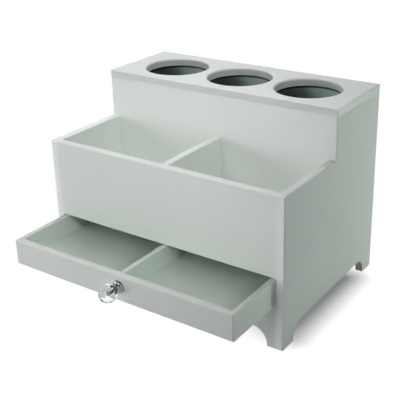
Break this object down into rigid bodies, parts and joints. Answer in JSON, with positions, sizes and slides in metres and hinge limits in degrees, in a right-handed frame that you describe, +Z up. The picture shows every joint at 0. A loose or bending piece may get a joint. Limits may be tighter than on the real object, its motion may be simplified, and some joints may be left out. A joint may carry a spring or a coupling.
{
  "type": "hair tool holder",
  "caption": "Painted board vanity organiser: a tower with round cups for hair tools, an open divided tray in front and a shallow drawer with a glass knob, on bracket feet.",
  "frame": {"origin": "on the floor, under the middle of the holder's box with the drawer open as pictured", "axes": "+X to the right seen from the front, +Y from the drawer to the back, +Z up"},
  "size_m": [0.305, 0.318, 0.229],
  "materials": {
    "painted_board": "satin paint",
    "cup_metal": "satin",
    "bright_metal": "polished",
    "clear_glass": "cut and polished"
  },
  "bodies": {
    "carcass": {"side_panel_left": "painted_board", "side_panel_right": "painted_board", "front_panel": "painted_board", "front_apron": "painted_board", "back_panel": "painted_board", "tower_riser": "painted_board", "tower_top": "painted_board", "mid_shelf": "painted_board", "bay_floor": "painted_board", "tray_divider": "painted_board", "tool_cup_left": "cup_metal", "tool_cup_middle": "cup_metal", "tool_cup_right": "cup_metal"},
    "drawer": {"drawer_front": "painted_board", "drawer_side_left": "painted_board", "drawer_side_right": "painted_board", "drawer_back": "painted_board", "drawer_bottom": "painted_board", "drawer_divider": "painted_board", "knob_rosette": "bright_metal", "knob_neck": "bright_metal", "knob_glass": "clear_glass", "knob_stud": "bright_metal"}
  },
  "joints": [
    {"name": "drawer_slide", "type": "slide", "parent": "carcass", "child": "drawer", "axis": [0, -1, 0], "range_m": [-0.077, 0.068]}
  ]
}
